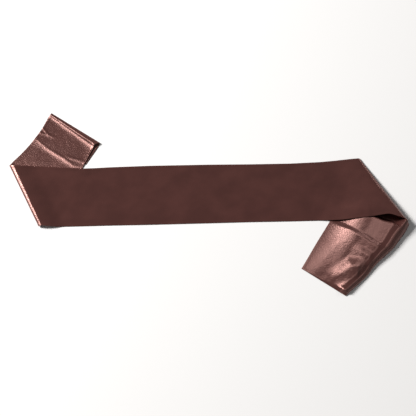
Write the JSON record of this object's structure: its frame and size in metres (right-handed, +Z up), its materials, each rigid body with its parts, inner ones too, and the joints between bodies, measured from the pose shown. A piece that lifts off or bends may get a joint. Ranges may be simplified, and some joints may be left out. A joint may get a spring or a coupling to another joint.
{
  "type": "satin sash",
  "caption": "Long satin sash laid out flat, with one end turned out behind the main stretch and the other rolled over into an open loop in front.",
  "frame": {"origin": "centre of the bounding box, on the surface that the sash lies on", "axes": "+X along the main stretch towards the open loop, +Y away from the viewer, +Z up from the surface"},
  "size_m": [1.0188, 0.4816, 0.0252],
  "materials": {
    "satin": "dark brown satin, glossy on both faces"
  },
  "bodies": {
    "root": {"main_stretch": "satin", "left_panel": "satin", "turned_back_end": "satin", "tail": "satin"}
  },
  "joints": []
}
